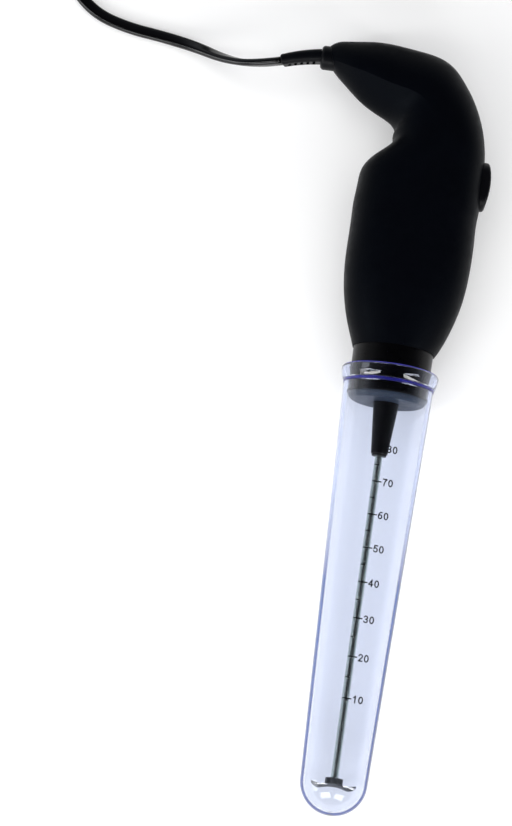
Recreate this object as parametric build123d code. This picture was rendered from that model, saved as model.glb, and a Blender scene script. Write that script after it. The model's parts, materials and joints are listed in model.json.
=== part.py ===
from build123d import *
import math
import os

# Hand-held drink mixer with its measuring tube, lying on its side on a table.
# The shaft axis runs along Y at AXIS_Z, the handle is towards +Y, its nose points to -X, and the
# table is Z = 0. The origin is the middle of the flat on the underside of the grip. Units are mm.

# ---------------------------------------------------------------- driving dimensions
AXIS_Z = 19.8             # shaft axis above the table
WALL = 2.4                # handle shell
GRIP_END_Y = -50.7        # open lower end of the grip
NECK_TOP_R = 16.3         # stopper that closes the tube, at the grip
NECK_LOW_R = 16.1         # and at its lower edge
SEAL_Y = -69.4            # lower edge of the stopper, where the lip seal sits
SEAL_T = 0.6
CAP_FACE_Y = -72.4        # lower face of the stopper's cap
CONE_END_Y = -93.3        # tip of the bearing cone
CONE_BASE_R = 5.2
CONE_TIP_R = 3.4
SHAFT_R = 1.5
RUNNING_GAP = 0.05        # radial clearance of a shaft in its bush
AGITATOR_Y = -227.9       # plane of the wavy disc
AGITATOR_R = 9.0
HUB_R = 3.3

RIM_Y = -59.3             # mouth of the measuring tube
RIM_R = 19.8
COLLAR_Y = -64.8          # lower edge of the tube's flared collar
TUBE_TOP_R = 18.36        # outer radius just below the collar
TUBE_TIP_R = 13.46        # outer radius of the round bottom
TUBE_ROUND_Y = -225.9     # centre of the round bottom
TUBE_WALL = 1.6

MOTOR_R = 14.0
MOTOR_FRONT_Y = -31.0
MOTOR_BACK_Y = 5.0
MOTOR_SHAFT_R = 1.15
ARMATURE_R = 9.8

BUTTON_Y = 22.6
BUTTON_LENGTH = 20.4
BUTTON_WIDTH = 12.0
BUTTON_TOP_X = 29.95
BUTTON_GAP = 0.3
BACK_X = 26.8             # back of the grip beside the button

CORD_WIDTH = 5.2          # flat twin lead
CORD_THICK = 3.2
RELIEF_Y = 68.1           # where the lead leaves the nose
RELIEF_LINE = [(-46.0, RELIEF_Y + 0.25, AXIS_Z), (-54.6, 67.2, AXIS_Z), (-62.1, 64.9, AXIS_Z - 1.95)]
FLANGE_R = 5.0
COIL_X, COIL_Y = -125.2, 129.0
COIL_BASE_Z = 0.9
COIL_MID_R = 28.5
TURN_STEP = 3.8           # radial step from turn to turn
LAYER_Z = (3.5, 8.8)      # centre height of the coil's two layers
PLUG_X, PLUG_Y = -48.0, 126.0
PLUG_AXIS_Z = 6.9
PIN_R = 2.0
PIN_LENGTH = 19.0
PIN_SPACING = 18.6

# Cuts through the handle from the cord end of the nose to the open end of the grip. Each row is the
# back point, the inner point, the half thickness, the crease's place along the cut (0 inner, 1 back),
# the half height of the blunt inner edge, how sharply the facet is folded (1 crisp, 0 none) and how
# square the rounding is (0.55 is an ellipse).
HANDLE_CUTS = [
    ((-43.3, 73.0), (-40.3, 63.5), 5.4, 0.24, 4.2, 1.0, 0.60),
    ((-36.6, 76.0), (-36.2, 59.1), 9.6, 0.28, 4.2, 1.0, 0.60),
    ((-27.6, 77.0), (-30.3, 53.8), 13.2, 0.32, 4.6, 1.0, 0.60),
    ((-14.1, 76.9), (-22.4, 48.4), 15.6, 0.33, 5.2, 1.0, 0.60),
    ((-2.9, 75.4), (-16.8, 45.7), 16.9, 0.33, 6.2, 0.95, 0.61),
    ((7.7, 71.6), (-13.3, 43.4), 17.9, 0.36, 7.5, 0.75, 0.62),
    ((16.3, 61.8), (-12.2, 40.0), 18.7, 0.43, 8.5, 0.40, 0.63),
    ((22.6, 49.8), (-12.2, 36.8), 19.3, 0.48, 9.5, 0.12, 0.64),
    ((25.8, 38.5), (-13.8, 33.4), 19.8, 0.50, 10.5, 0.0, 0.65),
    ((26.7, 29.5), (-18.6, 29.2), 20.1, 0.50, 11.0, 0.0, 0.65),
    ((26.9, 20.5), (-23.0, 23.6), 20.3, 0.50, 11.0, 0.0, 0.65),
    ((26.8, 10.5), (-24.2, 15.0), 20.4, 0.50, 11.0, 0.0, 0.65),
    ((26.6, -1.0), (-24.6, 1.5), 20.4, 0.50, 11.0, 0.0, 0.65),
    ((26.5, -13.0), (-24.7, -12.0), 20.3, 0.50, 11.0, 0.0, 0.65),
    ((25.5, -24.4), (-24.0, -24.2), 19.8, 0.50, 11.0, 0.0, 0.63),
    ((23.1, -35.4), (-21.9, -35.4), 18.7, 0.50, 11.0, 0.0, 0.60),
    ((20.4, -43.4), (-19.4, -43.4), 17.7, 0.50, 11.0, 0.0, 0.57),
    ((16.95, GRIP_END_Y), (-16.75, GRIP_END_Y), 16.85, 0.50, 11.0, 0.0, 0.552),
]
SCREW_SPOTS = [(19.4, -13.0), (-18.4, -13.0), (14.6, 47.0), (-23.6, 58.6)]
BOSS_R = 2.7
SCREW_R = 1.2
SCREW_HEAD_R = 2.3


# ---------------------------------------------------------------- helpers
def along_y(radius, y_low, y_high, x=0.0, z=AXIS_Z):
    """A cylinder whose axis runs along Y."""
    lying = Rot(90, 0, 0) * Cylinder(radius, y_high - y_low)
    return Pos(x, (y_low + y_high) / 2, z) * lying


def along_x(radius, x_low, x_high, y, z=AXIS_Z):
    """A cylinder whose axis runs along X."""
    lying = Rot(0, 90, 0) * Cylinder(radius, x_high - x_low)
    return Pos((x_low + x_high) / 2, y, z) * lying


def ring_y(outer, inner, y_low, y_high):
    """A plain ring on the shaft axis."""
    return along_y(outer, y_low, y_high) - along_y(inner, y_low - 1, y_high + 1)


def block(x_low, x_high, y_low, y_high, z_low, z_high):
    """A box given by its limits."""
    size = (x_high - x_low, y_high - y_low, z_high - z_low)
    middle = ((x_low + x_high) / 2, (y_low + y_high) / 2, (z_low + z_high) / 2)
    return Pos(*middle) * Box(*size)


def turned(profile):
    """A closed (radius, y) outline turned about the shaft axis."""
    plane = Plane(origin=(0, 0, AXIS_Z), x_dir=(1, 0, 0), z_dir=(0, 0, 1))
    face = make_face(plane * profile)
    return revolve(face, Axis((0, 0, AXIS_Z), (0, 1, 0)), 360)


def mix(a, b, share):
    """The value or point that lies share of the way from a to b."""
    if isinstance(a, tuple):
        return tuple(mix(p, q, share) for p, q in zip(a, b))
    return a + (b - a) * share


def save(name, shape):
    """Write one node's solids to its STEP file."""
    solids = shape.solids() if hasattr(shape, "solids") else [s for p in shape for s in p.solids()]
    whole = solids[0] if len(solids) == 1 else Compound(children=list(solids))
    whole.label = name
    export_step(whole, f"parts/{name}.step")


# ---------------------------------------------------------------- handle shell
def half_cut(cut, inset):
    """The upper half of one cut through the handle, inset by a wall thickness."""
    back, inner, height, crease, blunt, fold, square = cut
    span = math.dist(back, inner)
    along = Vector((back[0] - inner[0]) / span, (back[1] - inner[1]) / span, 0)
    start = Vector(inner[0], inner[1], AXIS_Z) + along * inset
    width = span - 2 * inset
    top = height - inset
    blunt_top = max(blunt - inset * 0.8, 1.0)
    top_at = crease * span - inset * (1.0 - 0.35 * fold)

    def spot(distance, rise):
        return start + along * distance + Vector(0, 0, rise)

    low_rise = mix(square * top, blunt_top, fold)
    round_in = (top_at * (1 - square), top)
    facet_in = mix((0.0, blunt_top), (top_at, top), 0.55)
    facet = mix(round_in, facet_in, fold)
    over = (top_at + (width - top_at) * mix(square, 0.42, fold), top * (1 + 0.09 * fold))
    lower = Bezier(spot(0, 0), spot(0, low_rise), spot(*facet), spot(top_at, top))
    upper = Bezier(spot(top_at, top), spot(*over), spot(width, square * top), spot(width, 0))
    base = Line(spot(width, 0), spot(0, 0))
    return Wire([lower.edge(), upper.edge(), base.edge()])


def half_body(inset):
    """The upper half of the handle as a solid, inset from the outside by a wall thickness."""
    cuts = list(HANDLE_CUTS)
    if inset:
        second = tuple(mix(a, b, 0.4) for a, b in zip(cuts[0], cuts[1]))
        cuts[0] = second
    return Solid.make_loft([half_cut(cut, inset) for cut in cuts])


def button_slot():
    """The hole that the button comes through, and the pocket for its flange."""
    opening = RectangleRounded(BUTTON_LENGTH + 2 * BUTTON_GAP, BUTTON_WIDTH + 2 * BUTTON_GAP, 5.9)
    face = Plane(origin=(BACK_X - 8, BUTTON_Y, AXIS_Z), x_dir=(0, 1, 0), z_dir=(1, 0, 0)) * opening
    pocket = block(BACK_X - 6.0, BACK_X - 2.5, BUTTON_Y - 12.2, BUTTON_Y + 12.2, AXIS_Z - 8, AXIS_Z + 8)
    return extrude(face, 16) + pocket


def relief_hole():
    """The hole and seat for the strain relief in the end of the nose."""
    neck = along_x(3.7, -46, -34, RELIEF_Y)
    seat = block(-38.8, -36.6, RELIEF_Y - 4.4, RELIEF_Y + 4.4, AXIS_Z - 4.4, AXIS_Z + 4.4)
    return neck + seat


def upper_half():
    """The handle half above the shaft axis, with bosses and motor ribs."""
    outside, middle, inside = half_body(0), half_body(WALL / 2), half_body(WALL)
    shell = outside - inside
    for y_low, radius in ((-27.5, 15.6), (-3.0, MOTOR_R + 0.2)):
        slab = block(-30, 30, y_low, y_low + 2.2, AXIS_Z, AXIS_Z + 30)
        shell += (middle & slab) - along_y(radius, -40, 20)
    for x, y in SCREW_SPOTS:
        post = Pos(x, y, AXIS_Z + 15) * Cylinder(BOSS_R, 30)
        shell += middle & post
    shell -= button_slot()
    shell -= relief_hole()
    shell -= block(-35.0, -28.2, 60.8, 75.2, AXIS_Z, AXIS_Z + 5.2)
    return shell


def housing_right():
    """Upper shell, with blind pilot holes for the screws."""
    shell = upper_half()
    for x, y in SCREW_SPOTS:
        shell -= Pos(x, y, AXIS_Z + 3.75) * Cylinder(SCREW_R, 7.5)
    return shell


def housing_left():
    """Lower shell, with the flat it rests on and recessed screw heads."""
    shell = mirror(upper_half(), Plane(origin=(0, 0, AXIS_Z), z_dir=(0, 0, 1)))
    shell = shell & block(-60, 60, -80, 100, 0, AXIS_Z)
    for x, y in SCREW_SPOTS:
        shell -= Pos(x, y, AXIS_Z / 2) * Cylinder(SCREW_R + 0.15, AXIS_Z + 4)
        shell -= Pos(x, y, AXIS_Z - 5.5 - 20) * Cylinder(SCREW_HEAD_R + 0.2, 40)
    return shell


def housing_screws():
    """Four screws that come in from the underside."""
    screws = []
    for x, y in SCREW_SPOTS:
        shank = Pos(x, y, AXIS_Z + 0.6) * Cylinder(SCREW_R, 12.2)
        head = Pos(x, y, AXIS_Z - 6.4) * Cylinder(SCREW_HEAD_R, 1.8)
        cross = Pos(x, y, AXIS_Z - 7.3) * (Box(2.8, 0.6, 1.4) + Box(0.6, 2.8, 1.4))
        screws.append(shank + head - cross)
    return screws


# ---------------------------------------------------------------- stopper, cone and shaft
def neck_collar():
    """Hollow stopper: a spigot held inside the grip, and the part that plugs the tube."""
    with BuildLine() as outline:
        Polyline((13.2, GRIP_END_Y + 6.4), (14.7, GRIP_END_Y + 6.4), (14.7, GRIP_END_Y + 5.0),
                 (14.2, GRIP_END_Y + 4.4), (14.2, GRIP_END_Y), (NECK_TOP_R, GRIP_END_Y),
                 (NECK_LOW_R, SEAL_Y), (13.6, SEAL_Y), (13.2, GRIP_END_Y + 6.4))
    return turned(outline.line)


def neck_cap():
    """Bevelled cap pushed into the stopper, with a hub for the bearing cone."""
    low = CAP_FACE_Y
    with BuildLine() as outline:
        Line((5.4, low), (13.9, low))
        ThreePointArc((13.9, low), (15.45, low + 0.75), (16.0, SEAL_Y - SEAL_T))
        Polyline((16.0, SEAL_Y - SEAL_T), (13.5, SEAL_Y - SEAL_T), (13.5, -65.4), (12.3, -65.4),
                 (12.3, -68.6), (7.4, -68.6), (7.4, -61.4), (5.4, -61.4), (5.4, low))
    return turned(outline.line)


def seal_ring():
    """Thin lip seal between the stopper and its cap."""
    lip = 16.47
    return ring_y(lip, 13.5, SEAL_Y - SEAL_T, SEAL_Y)


def bearing_cone():
    """Tapered tube that carries the shaft below the stopper."""
    with BuildLine() as outline:
        Polyline((5.35, -61.4), (5.35, CAP_FACE_Y), (CONE_BASE_R, CAP_FACE_Y - 0.2),
                 (CONE_TIP_R, CONE_END_Y), (2.5, CONE_END_Y), (2.5, CONE_END_Y + 5),
                 (2.0, CONE_END_Y + 5), (2.0, -68.0), (3.2, -68.0), (3.2, -61.4), (5.35, -61.4))
    return turned(outline.line)


def shaft_bush(y_low, y_high, outer):
    """Plain bearing bush on the shaft."""
    return ring_y(outer, SHAFT_R + RUNNING_GAP, y_low, y_high)


def cone_bush():
    """Bush at the tip of the cone, with a lip that shows below it."""
    bush = ring_y(2.45, SHAFT_R + RUNNING_GAP, CONE_END_Y, CONE_END_Y + 4.9)
    return bush + ring_y(3.0, SHAFT_R + RUNNING_GAP, CONE_END_Y - 0.9, CONE_END_Y)


def shaft_seal():
    """Rubber wiper that keeps liquid out of the handle."""
    return ring_y(3.0, SHAFT_R + 0.08, -60.6, -58.6) + ring_y(5.0, 2.4, -61.3, -60.6)


def drive_shaft():
    """Long polished shaft from the coupling to the agitator."""
    return along_y(SHAFT_R, AGITATOR_Y + 0.4, -44.0)


def agitator_hub():
    """Small hub with two ears, pressed on the end of the shaft."""
    y_low, y_high = AGITATOR_Y + 0.9, AGITATOR_Y + 3.6
    core_r, ear_thick, ear_turn = 2.4, 2.4, 18
    core = ring_y(core_r, SHAFT_R, y_low, y_high)
    ears = Rot(0, ear_turn, 0) * Box(2 * HUB_R, y_high - y_low - 0.3, ear_thick)
    ears = Pos(0, (y_low + y_high) / 2, AXIS_Z) * ears
    return core + (ears - along_y(core_r - 0.5, y_low - 1, y_high + 1))


def agitator_disc():
    """Thin round plate pressed into four waves."""
    waves, lift, thick = 4, 0.85, 0.6
    steps = 48
    rims = []
    for offset in (0.0, thick):
        points = []
        for k in range(steps):
            angle = 2 * math.pi * k / steps
            y = AGITATOR_Y + offset + lift * math.cos(waves * angle)
            points.append((AGITATOR_R * math.cos(angle), y, AXIS_Z + AGITATOR_R * math.sin(angle)))
        rims.append(Spline(*points, periodic=True))
    middle_low = (0, AGITATOR_Y, AXIS_Z)
    middle_high = (0, AGITATOR_Y + thick, AXIS_Z)
    low = Face.make_surface([rims[0].edge()], surface_points=[middle_low])
    high = Face.make_surface([rims[1].edge()], surface_points=[middle_high])
    side = Face.make_surface_from_curves(rims[0].edge(), rims[1].edge())
    plate = Solid(Shell([low, high, side]))
    return plate - along_y(SHAFT_R, AGITATOR_Y - 3, AGITATOR_Y + 4)


# ---------------------------------------------------------------- measuring tube
def measuring_tube():
    """Clear tapering tube with a flared collar and a round bottom."""
    run = TUBE_ROUND_Y - COLLAR_Y
    slope = math.asin((TUBE_TOP_R - TUBE_TIP_R) / -run)
    inner_r = TUBE_TIP_R - TUBE_WALL
    sink = math.sin(slope)
    edge = math.cos(slope)

    def bowl(radius):
        return (radius * edge, TUBE_ROUND_Y + radius * sink)

    def below(radius):
        angle = math.radians(45)
        return (radius * math.cos(angle), TUBE_ROUND_Y - radius * math.sin(angle))

    inner_top = TUBE_TOP_R - TUBE_WALL / edge
    with BuildLine() as outline:
        ThreePointArc((0, TUBE_ROUND_Y - TUBE_TIP_R), below(TUBE_TIP_R), bowl(TUBE_TIP_R))
        Polyline(bowl(TUBE_TIP_R), (TUBE_TOP_R, COLLAR_Y - 0.2), (TUBE_TOP_R + 0.5, COLLAR_Y + 0.25))
        ThreePointArc((TUBE_TOP_R + 0.5, COLLAR_Y + 0.25), (RIM_R - 0.22, -61.9), (RIM_R, RIM_Y - 0.7))
        ThreePointArc((RIM_R, RIM_Y - 0.7), (RIM_R - 0.7, RIM_Y), (RIM_R - 1.4, RIM_Y - 0.6))
        ThreePointArc((RIM_R - 1.4, RIM_Y - 0.6), (17.35, -63.4), (inner_top, COLLAR_Y - 1.5))
        Line((inner_top, COLLAR_Y - 1.5), bowl(inner_r))
        ThreePointArc(bowl(inner_r), below(inner_r), (0, TUBE_ROUND_Y - inner_r))
        Line((0, TUBE_ROUND_Y - inner_r), (0, TUBE_ROUND_Y - TUBE_TIP_R))
    return turned(outline.line)


# ---------------------------------------------------------------- button and switch
def power_button():
    """Domed thumb button with a flange behind the shell and a short stem."""
    plane = Plane(origin=(BACK_X - 1.4, BUTTON_Y, AXIS_Z), x_dir=(0, 1, 0), z_dir=(1, 0, 0))
    pad = extrude(plane * RectangleRounded(BUTTON_LENGTH, BUTTON_WIDTH, 5.7), 8)
    dome_r = 32.0
    dome = Pos(BUTTON_TOP_X - dome_r, BUTTON_Y, AXIS_Z) * Cylinder(dome_r, 40)
    pad = pad & dome
    crown = pad.edges().filter_by(lambda e: e.center().X > BACK_X + 0.4)
    pad = fillet(crown, 1.1)
    flange_plane = plane.offset(-2.6)
    flange = extrude(flange_plane * RectangleRounded(BUTTON_LENGTH + 3, BUTTON_WIDTH + 3, 7.0), 1.2)
    throat = extrude(flange_plane * RectangleRounded(BUTTON_LENGTH - 1, BUTTON_WIDTH - 1, 5.0), 3)
    stem = along_x(2.0, 18.2, 23.0, BUTTON_Y)
    return pad + flange + throat + stem


def button_spring():
    """Coil spring between the switch body and the button's flange."""
    wire_r, coil_r = 0.3, 3.1
    low, high = 15.4, 22.4
    path = Helix(pitch=(high - low) / 5, height=high - low, radius=coil_r)
    wire = sweep(Plane(path @ 0, z_dir=path % 0) * Circle(wire_r), path=path)
    return Pos(low, BUTTON_Y, AXIS_Z) * (Rot(0, 90, 0) * wire)


def switch_body():
    """Momentary switch under the button."""
    body = block(5.0, 15.0, BUTTON_Y - 9, BUTTON_Y + 9, AXIS_Z - 4, AXIS_Z + 4)
    body = fillet(body.edges().filter_by(Axis.X), 0.8)
    lugs = block(2.2, 5.2, BUTTON_Y - 6.4, BUTTON_Y - 5.6, AXIS_Z - 1.5, AXIS_Z + 1.5)
    lugs += block(2.2, 5.2, BUTTON_Y + 5.6, BUTTON_Y + 6.4, AXIS_Z - 1.5, AXIS_Z + 1.5)
    return body + lugs - along_x(1.45, 12.0, 16.0, BUTTON_Y)


def switch_plunger():
    """Small plunger that the button's stem pushes."""
    return along_x(1.3, 13.8, 18.2, BUTTON_Y)


def switch_bracket():
    """Frame that holds the switch between the two shells."""
    y_low, y_high = BUTTON_Y - 11.2, BUTTON_Y + 11.2
    frame = block(7.0, 12.5, y_low, y_high, AXIS_Z - 6.5, AXIS_Z + 6.5)
    hole = block(6.0, 14.0, BUTTON_Y - 9.05, BUTTON_Y + 9.05, AXIS_Z - 4.05, AXIS_Z + 4.05)
    return frame - hole


# ---------------------------------------------------------------- motor
def motor_can():
    """Steel can, open at the back, with a bush seat in front."""
    can = along_y(MOTOR_R, MOTOR_FRONT_Y, MOTOR_BACK_Y)
    can -= along_y(MOTOR_R - 1.0, MOTOR_FRONT_Y + 1.0, MOTOR_BACK_Y + 1)
    can += along_y(4.6, MOTOR_FRONT_Y - 2.4, MOTOR_FRONT_Y + 0.5)
    return can - along_y(3.0, MOTOR_FRONT_Y - 3, MOTOR_FRONT_Y + 3)


def motor_endcap():
    """Plastic end of the motor, with the brush seats and rear bush."""
    cap = along_y(MOTOR_R, MOTOR_BACK_Y, MOTOR_BACK_Y + 2.2)
    cap += ring_y(MOTOR_R - 1.05, MOTOR_R - 2.6, MOTOR_BACK_Y - 3, MOTOR_BACK_Y + 0.2)
    cap += along_y(4.2, MOTOR_BACK_Y + 2, MOTOR_BACK_Y + 4.4)
    return cap - along_y(3.0, MOTOR_BACK_Y - 1, MOTOR_BACK_Y + 6)


def motor_magnets():
    """Two curved magnets against the can."""
    ring = ring_y(MOTOR_R - 1.05, ARMATURE_R + 0.7, MOTOR_FRONT_Y + 5, MOTOR_BACK_Y - 9)
    gap = block(-4, 4, -40, 20, AXIS_Z - 20, AXIS_Z + 20)
    return (ring - gap).solids()


def motor_bushes():
    """Front and rear sintered bushes."""
    bore = MOTOR_SHAFT_R + RUNNING_GAP
    front = ring_y(2.95, bore, MOTOR_FRONT_Y - 2.2, MOTOR_FRONT_Y + 1.4)
    rear = ring_y(2.95, bore, MOTOR_BACK_Y + 0.2, MOTOR_BACK_Y + 4.2)
    return [front, rear]


def motor_mount():
    """Rubber ring that holds the can in the shells' front rib."""
    return ring_y(15.55, MOTOR_R + 0.02, -28.4, -24.4)


def armature_core():
    """Three-pole laminated core."""
    core = along_y(ARMATURE_R, MOTOR_FRONT_Y + 7, MOTOR_BACK_Y - 11)
    for angle in (0, 120, 240):
        slot = Pos(0, 0, 7.3) * Box(1.8, 60, 7)
        slot += Pos(0, 0, 6.0) * Box(7.0, 60, 4)
        core -= Pos(0, -13, AXIS_Z) * (Rot(0, angle, 0) * slot)
    return core - along_y(MOTOR_SHAFT_R, -40, 20)


def armature_windings():
    """Copper end turns at both ends of the core."""
    front, back = MOTOR_FRONT_Y + 7, MOTOR_BACK_Y - 11
    turns = []
    for y_low, y_high in ((front - 3.6, front - 0.05), (back + 0.05, back + 3.6)):
        coil = ring_y(8.4, 3.0, y_low, y_high)
        turns.append(fillet(coil.edges().filter_by(GeomType.CIRCLE), 1.2))
    return turns


def commutator():
    """Copper commutator behind the core."""
    body = ring_y(3.0, MOTOR_SHAFT_R, MOTOR_BACK_Y - 7, MOTOR_BACK_Y - 1.6)
    for angle in (0, 120, 240):
        groove = Pos(0, MOTOR_BACK_Y - 4.3, AXIS_Z) * (Rot(0, angle, 0) * (Pos(0, 0, 3) * Box(0.4, 6, 0.8)))
        body -= groove
    return body


def motor_brushes():
    """Two carbon brushes with their spring arms."""
    y_low, y_high = MOTOR_BACK_Y - 5.6, MOTOR_BACK_Y - 3.0
    brushes = []
    for side in (-1, 1):
        near, far = sorted((side * 3.15, side * 7.0))
        carbon = block(near, far, y_low, y_high, AXIS_Z - 1.6, AXIS_Z + 1.6)
        low, high = sorted((side * 6.9, side * 7.4))
        arm = block(low, high, y_low + 0.6, MOTOR_BACK_Y, AXIS_Z - 1.2, AXIS_Z + 1.2)
        brushes.append(carbon + arm)
    return brushes


def motor_shaft():
    """Armature shaft."""
    return along_y(MOTOR_SHAFT_R, -43.6, MOTOR_BACK_Y + 4.0)


def shaft_coupling():
    """Sleeve that joins the motor shaft to the drive shaft."""
    sleeve = ring_y(4.6, MOTOR_SHAFT_R, -43.7, -36.5) + ring_y(4.6, SHAFT_R, -51.5, -43.7)
    return sleeve - ring_y(6.0, 4.0, -45.0, -42.4)


# ---------------------------------------------------------------- electrics
BOARD_TOP_Z = AXIS_Z - 3.0


def rectifier_board():
    """Small circuit board behind the switch."""
    board = block(-9.0, 8.0, 44.5, 66.0, BOARD_TOP_Z - 1.6, BOARD_TOP_Z)
    for x, y in ((-6.5, 47), (-6.5, 63.5), (5.5, 63.5)):
        board -= Pos(x, y, BOARD_TOP_Z) * Cylinder(0.9, 5)
    return board


def rectifier_diodes():
    """Four diodes on the board."""
    rows = []
    for k in range(4):
        x = -5.4 + 3.6 * k
        body = along_y(1.3, 58.0, 62.2, x, BOARD_TOP_Z + 1.35)
        lead = along_y(0.35, 56.6, 63.6, x, BOARD_TOP_Z + 1.35)
        rows.append(body + lead)
    return rows


def filter_capacitor():
    """Film capacitor on the board."""
    body = block(-6.5, 5.5, 49.5, 54.5, BOARD_TOP_Z + 0.05, BOARD_TOP_Z + 9.0)
    return fillet(body.edges().filter_by(Axis.Z), 1.0)


def wire_run(points, radius=0.75):
    """An insulated wire along straight runs with rounded corners."""
    path = FilletPolyline(*points, radius=1.6)
    return sweep(Plane(path @ 0, z_dir=path % 0) * Circle(radius), path=path)


def lead_wires():
    """Wires from the cord to the board, and from there to the switch and the motor."""
    low = BOARD_TOP_Z - 1.65
    z = AXIS_Z
    return [
        wire_run([(-23.9, 69.4, z + 1.2), (-14, 69.4, z + 1.2), (-11, 63, z - 2), (-10.0, 60.5, z - 3.8)]),
        wire_run([(-23.9, 69.4, z - 1.4), (-14, 68.6, z - 3.4), (-11, 60, z - 6.4), (-7.5, 57, low - 1.2)]),
        wire_run([(-4, 44.4, z - 3.8), (-4, 37, z - 3.8), (-3, 28.6, z), (2.1, 28.6, z)]),
        wire_run([(-8, 44.4, z - 3.8), (-8, 22, z - 3.8), (-8, 12, z), (-8, 7.3, z)]),
        wire_run([(6, 7.3, z), (6, 10.6, z), (-2.5, 11.5, z), (-3.5, 16.6, z), (2.1, 16.6, z)]),
    ]


def cord_inner():
    """End of the flat lead inside the nose."""
    plane = Plane(origin=(-37.0, RELIEF_Y, AXIS_Z), x_dir=(0, 1, 0), z_dir=(1, 0, 0))
    return extrude(plane * RectangleRounded(CORD_THICK, CORD_WIDTH, 1.55), 13)


def cord_clamp():
    """Bar that grips the lead just inside the nose."""
    y = RELIEF_Y
    bar = block(-33.6, -29.4, y - 5.8, y + 5.8, AXIS_Z - 3.8, AXIS_Z + 3.8)
    bar -= block(-35, -28, y - 1.65, y + 1.65, AXIS_Z - 2.65, AXIS_Z + 2.65)
    for side in (-1, 1):
        bar -= Pos(-31.5, y + side * 4.0, AXIS_Z) * Cylinder(1.05, 12)
    return bar


def clamp_screws():
    """Two small screws through the clamp."""
    screws = []
    for side in (-1, 1):
        shank = Pos(-31.5, RELIEF_Y + side * 4.0, AXIS_Z) * Cylinder(1.0, 7.8)
        head = Pos(-31.5, RELIEF_Y + side * 4.0, AXIS_Z + 4.3) * Cylinder(1.7, 0.9)
        screws.append(shank + head)
    return screws


# ---------------------------------------------------------------- strain relief, cord and plug
def relief_path():
    """Centre line of the strain relief, drooping a little towards its tip."""
    return Bezier(*RELIEF_LINE)


def strain_relief(outside):
    """Moulded sleeve with a flange against the nose and slots that let it bend."""
    path = relief_path()
    sections = []
    for share in (0.0, 0.35, 0.7, 1.0):
        plane = Plane(path @ share, x_dir=(0, 0, 1), z_dir=path % share)
        height, depth = mix(8.0, 7.0, share), mix(5.6, 4.6, share)
        sections.append((plane * RectangleRounded(height, depth, depth * 0.42)).face())
    sleeve = loft(sections)
    tip = sleeve.faces().sort_by(Axis.X)[0]
    sleeve = fillet(tip.edges(), 0.9)
    start = RELIEF_Y
    flange = fillet(along_x(FLANGE_R, -46.2, -38.0, start).edges(), 1.5)
    flange -= outside
    flange -= mirror(outside, Plane(origin=(0, 0, AXIS_Z), z_dir=(0, 0, 1)))
    relief = sleeve + flange.solids().sort_by(Axis.X)[0]
    relief += along_x(3.4, -46.0, -38.4, start)
    relief += block(-38.6, -37.0, start - 4.2, start + 4.2, AXIS_Z - 4.2, AXIS_Z + 4.2)
    for k in range(5):
        share = 0.20 + 0.155 * k
        for side in (-1, 1):
            at = Plane(path @ share, x_dir=path % share, z_dir=(0, 0, 1))
            shift = 0.0 if side < 0 else 0.5 * 0.155 * 17
            relief -= at * (Pos(shift, side * -3.2, 0) * Box(1.15, 3.0, 4.6))
    return relief


def fair_radii(points):
    """One bend radius for each corner, 0.45 of the shorter run over the tangent of half the turn."""
    radii = []
    for before, here, after in zip(points, points[1:], points[2:]):
        run_in, run_out = Vector(*here) - Vector(*before), Vector(*after) - Vector(*here)
        half_turn = math.radians(run_in.get_angle(run_out) / 2)
        radii.append(0.45 * min(run_in.length, run_out.length) / math.tan(half_turn))
    return radii


def cord_tube(name, points):
    """A plain round tube along a route of runs and arcs."""
    radii = fair_radii(points)
    path = FilletPolyline(*points, radius=radii)
    tube = sweep(Plane(path @ 0, z_dir=path % 0) * Circle(CORD_WIDTH / 2), path=path)
    ratio = tube.volume / (math.pi * (CORD_WIDTH / 2) ** 2 * path.length)
    print(name, "length", round(path.length, 1), "volume over section times length", round(ratio, 4))
    print(name, "radii", [round(r, 1) for r in radii])
    return tube


COIL_OUT_R = COIL_MID_R + TURN_STEP
FLOOR_Z = CORD_WIDTH / 2
CORD_ROUTE = [
    RELIEF_LINE[-1],
    (-73.9, 62.6, 14.8),
    (-86.6, 65.1, 8.8),
    (-99.0, 70.0, 4.4),
    (-113.0, 73.0, FLOOR_Z),
    (-129.0, 74.8, FLOOR_Z),
    (-143.5, 79.2, FLOOR_Z),
    (-154.0, 89.0, FLOOR_Z),
    (-159.4, 103.2, FLOOR_Z),
    (COIL_X - COIL_OUT_R, COIL_Y - 10.5, LAYER_Z[0]),
]
TAIL_ROUTE = [
    (COIL_X + 2.0, COIL_Y + COIL_OUT_R, LAYER_Z[1]),
    (COIL_X + 17.0, COIL_Y + 31.6, 7.4),
    (COIL_X + 32.5, COIL_Y + 24.0, 3.8),
    (COIL_X + 42.2, COIL_Y + 8.5, FLOOR_Z),
    (COIL_X + 57.2, COIL_Y - 1.4, 4.6),
    (PLUG_X - 0.4, PLUG_Y, PLUG_AXIS_Z),
]


def cord_coil():
    """Outer shape of the wound part of the lead."""
    outer, inner = COIL_OUT_R + CORD_WIDTH / 2, COIL_MID_R - TURN_STEP - CORD_WIDTH / 2
    height = LAYER_Z[1] + CORD_WIDTH / 2 - COIL_BASE_Z
    ring = Cylinder(outer, height) - Cylinder(inner, height + 2)
    ring = fillet(ring.edges().filter_by(GeomType.CIRCLE), 2.2)
    return Pos(COIL_X, COIL_Y, COIL_BASE_Z + height / 2) * ring


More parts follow.
